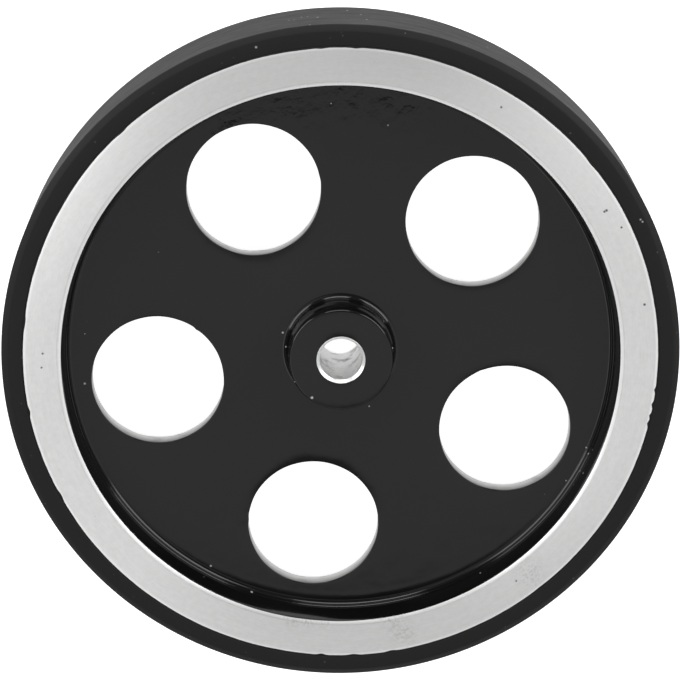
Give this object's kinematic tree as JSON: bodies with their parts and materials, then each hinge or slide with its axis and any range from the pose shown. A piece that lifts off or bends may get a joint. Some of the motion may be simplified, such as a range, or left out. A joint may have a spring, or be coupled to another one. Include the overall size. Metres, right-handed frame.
{
  "type": "encoder measuring wheel",
  "caption": "Dished metal wheel with a rubber tyre, bright turned rim, round web holes and a bored hub, to roll on a surface and turn a rotary encoder's shaft.",
  "frame": {"origin": "on the wheel's axis, in the plane of the back rim face that it rests on", "axes": "+Z along the wheel's axis, out of the front face that the picture shows; +Y through the middle of one web hole"},
  "size_m": [0.1592, 0.1592, 0.025],
  "materials": {
    "painted_casting": "semi-gloss black paint on a casting, turned bright on the rim, in the bore and in the web holes",
    "rubber": "matte black rubber with a smooth tread",
    "screw_steel": "blackened steel"
  },
  "bodies": {
    "root": {"wheel_body": "painted_casting", "tyre": "rubber", "grub_screw_1": "screw_steel", "grub_screw_2": "screw_steel"}
  },
  "joints": []
}
